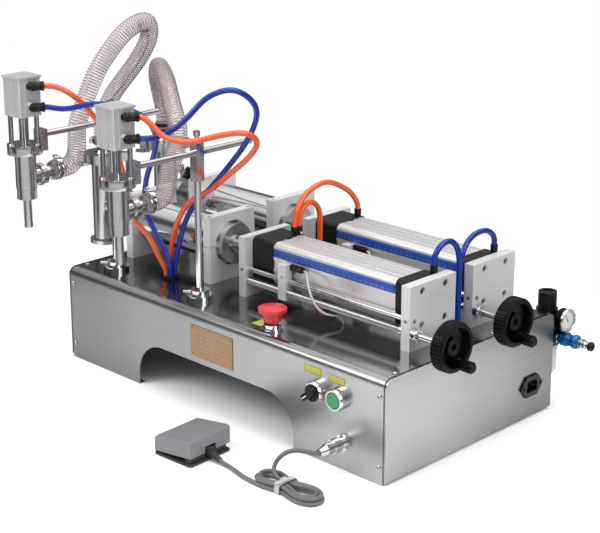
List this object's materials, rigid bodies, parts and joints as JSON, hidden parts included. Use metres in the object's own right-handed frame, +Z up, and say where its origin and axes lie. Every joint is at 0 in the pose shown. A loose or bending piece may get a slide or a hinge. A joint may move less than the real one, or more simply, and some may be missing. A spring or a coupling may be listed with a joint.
{
  "type": "piston filler",
  "caption": "Table-top pneumatic piston filler: stainless cabinet, two piston lines with handwheel stroke setting, two filling heads on posts, and a foot pedal.",
  "frame": {"origin": "on the floor, under the centre of the cabinet", "axes": "+X toward the handwheels, along the piston lines; -Y is the front panel with the controls; +Z up"},
  "size_m": [0.8284, 0.5435, 0.5283],
  "materials": {
    "stainless": "brushed stainless sheet",
    "polished_steel": "polished stainless",
    "turned_steel": "turned stainless",
    "zinc_steel": "plated steel",
    "brass_plate": "matt brass sheet",
    "aluminium": "clear anodised",
    "machined_aluminium": "milled",
    "blue_aluminium": "blue anodised",
    "black_plastic": "moulded",
    "black_gloss": "moulded, glossy",
    "black_cast": "black finish",
    "red_plastic": "moulded",
    "green_lens": "moulded",
    "grey_plastic": "moulded",
    "pedal_grey": "hammered grey paint",
    "pedal_black": "moulded",
    "cord_grey": "round jacketed cord",
    "clear_hose": "clear PVC with a steel spiral",
    "orange_tube": "polyurethane tube",
    "blue_tube": "polyurethane tube",
    "pale_cable": "thin jacketed cable"
  },
  "bodies": {
    "cabinet": {"cabinet_shell": "stainless", "end_panels": "stainless", "machine_screws": "zinc_steel", "nameplate": "brass_plate", "estop_base": "polished_steel", "button_bezels": "polished_steel", "power_inlet": "black_plastic", "cord_plug": "polished_steel", "pedal_cord_lead": "cord_grey", "pedal_cord_hank": "cord_grey", "pedal_cord_tail": "cord_grey", "pedal_base": "pedal_black", "regulator_body": "black_plastic", "filter_bowl": "grey_plastic", "pressure_gauge": "black_gloss", "air_inlet_plug": "blue_aluminium", "arm_posts": "polished_steel", "left_filling_hose": "clear_hose", "right_filling_hose": "clear_hose", "left_head_tubes": "orange_tube", "right_head_tubes": "orange_tube", "front_sensor_cable": "pale_cable", "rear_sensor_cable": "pale_cable", "product_barrels": "polished_steel", "barrel_ends": "turned_steel", "barrel_clamps": "machined_aluminium", "air_cylinder_bodies": "aluminium", "air_cylinder_caps": "black_cast", "mounting_plates": "machined_aluminium", "guide_rods": "polished_steel", "check_valves": "turned_steel", "cylinder_tubes": "orange_tube", "air_fittings": "black_plastic"},
    "estop_button": {"estop_button": "red_plastic"},
    "start_button": {"start_button": "green_lens"},
    "selector_knob": {"selector_knob": "black_plastic"},
    "pedal_treadle": {"pedal_treadle": "pedal_grey"},
    "regulator_knob": {"regulator_knob": "black_plastic"},
    "front_piston": {"front_piston": "turned_steel"},
    "rear_piston": {"rear_piston": "turned_steel"},
    "front_handwheel": {"front_lead_screw": "zinc_steel", "front_handwheel": "black_gloss"},
    "rear_handwheel": {"rear_lead_screw": "zinc_steel", "rear_handwheel": "black_gloss"},
    "front_crank_handle": {"front_crank_handle": "black_gloss"},
    "rear_crank_handle": {"rear_crank_handle": "black_gloss"},
    "front_sensor_slide": {"front_sensor_slide": "machined_aluminium"},
    "rear_sensor_slide": {"rear_sensor_slide": "machined_aluminium"},
    "left_head": {"left_arm": "machined_aluminium", "left_head_cylinder": "aluminium", "left_head_frame": "turned_steel", "left_nozzle_body": "turned_steel"},
    "left_clamp_knob": {"left_clamp_knob": "black_plastic"},
    "left_nozzle_stem": {"left_nozzle_stem": "polished_steel"},
    "right_head": {"right_arm": "machined_aluminium", "right_head_cylinder": "aluminium", "right_head_frame": "turned_steel", "right_nozzle_body": "turned_steel"},
    "right_clamp_knob": {"right_clamp_knob": "black_plastic"},
    "right_nozzle_stem": {"right_nozzle_stem": "polished_steel"}
  },
  "joints": [
    {"name": "front_piston_stroke", "type": "slide", "parent": "cabinet", "child": "front_piston", "axis": [1, 0, 0], "range_m": [0, 0.15]},
    {"name": "front_handwheel_turn", "type": "hinge", "parent": "cabinet", "child": "front_handwheel", "pos_m": [0, -0.077, 0.169], "axis": [1, 0, 0], "range_deg": [-1800, 16200]},
    {"name": "front_crank_spin", "type": "hinge", "parent": "front_handwheel", "child": "front_crank_handle", "pos_m": [0.334, -0.07318, 0.14733], "axis": [1, 0, 0], "continuous": true},
    {"name": "front_slide_travel", "type": "slide", "parent": "cabinet", "child": "front_sensor_slide", "axis": [1, 0, 0], "range_m": [-0.0201, 0.1801], "deforming": ["front_sensor_cable"]},
    {"name": "rear_piston_stroke", "type": "slide", "parent": "cabinet", "child": "rear_piston", "axis": [1, 0, 0], "range_m": [0, 0.15]},
    {"name": "rear_handwheel_turn", "type": "hinge", "parent": "cabinet", "child": "rear_handwheel", "pos_m": [0, 0.053, 0.169], "axis": [1, 0, 0], "range_deg": [-1800, 16200]},
    {"name": "rear_crank_spin", "type": "hinge", "parent": "rear_handwheel", "child": "rear_crank_handle", "pos_m": [0.334, 0.05682, 0.14733], "axis": [1, 0, 0], "continuous": true},
    {"name": "rear_slide_travel", "type": "slide", "parent": "cabinet", "child": "rear_sensor_slide", "axis": [1, 0, 0], "range_m": [-0.0201, 0.1801], "deforming": ["rear_sensor_cable"]},
    {"name": "left_head_height", "type": "slide", "parent": "cabinet", "child": "left_head", "axis": [0, 0, 1], "range_m": [-0.01, 0.01], "deforming": ["left_filling_hose", "left_head_tubes"]},
    {"name": "left_clamp_turn", "type": "hinge", "parent": "left_head", "child": "left_clamp_knob", "pos_m": [-0.2715, -0.133, 0.343], "axis": [-1, 0, 0], "range_deg": [0, 720]},
    {"name": "left_nozzle_lift", "type": "slide", "parent": "left_head", "child": "left_nozzle_stem", "axis": [0, 0, 1], "range_m": [0, 0.012]},
    {"name": "right_head_height", "type": "slide", "parent": "cabinet", "child": "right_head", "axis": [0, 0, 1], "range_m": [-0.01, 0.01], "deforming": ["right_filling_hose", "right_head_tubes"]},
    {"name": "right_clamp_turn", "type": "hinge", "parent": "right_head", "child": "right_clamp_knob", "pos_m": [-0.0807, -0.133, 0.327], "axis": [-1, 0, 0], "range_deg": [0, 720]},
    {"name": "right_nozzle_lift", "type": "slide", "parent": "right_head", "child": "right_nozzle_stem", "axis": [0, 0, 1], "range_m": [0, 0.012]},
    {"name": "estop_press", "type": "slide", "parent": "cabinet", "child": "estop_button", "axis": [0, 0, -1], "range_m": [0, 0.004]},
    {"name": "start_press", "type": "slide", "parent": "cabinet", "child": "start_button", "axis": [0, 1, 0], "range_m": [0, 0.003], "stiffness_N_per_m": 500},
    {"name": "selector_turn", "type": "hinge", "parent": "cabinet", "child": "selector_knob", "pos_m": [0.207, -0.1775, 0.098], "axis": [0, -1, 0], "range_deg": [0, 90]},
    {"name": "pedal_press", "type": "hinge", "parent": "cabinet", "child": "pedal_treadle", "pos_m": [0.04604, -0.28036, 0.009], "axis": [-0.0523, 0.9986, 0], "range_deg": [0, 4.5], "stiffness_Nm_per_rad": 4, "springref_deg": -4.58},
    {"name": "regulator_turn", "type": "hinge", "parent": "cabinet", "child": "regulator_knob", "pos_m": [0.293, 0.205, 0.137], "axis": [0, 0, 1], "range_deg": [-540, 540]}
  ],
  "couplings": [
    {"joint": "front_slide_travel", "follows": "front_handwheel_turn", "m_per_rad": 0.00063662},
    {"joint": "rear_slide_travel", "follows": "rear_handwheel_turn", "m_per_rad": 0.00063662}
  ]
}
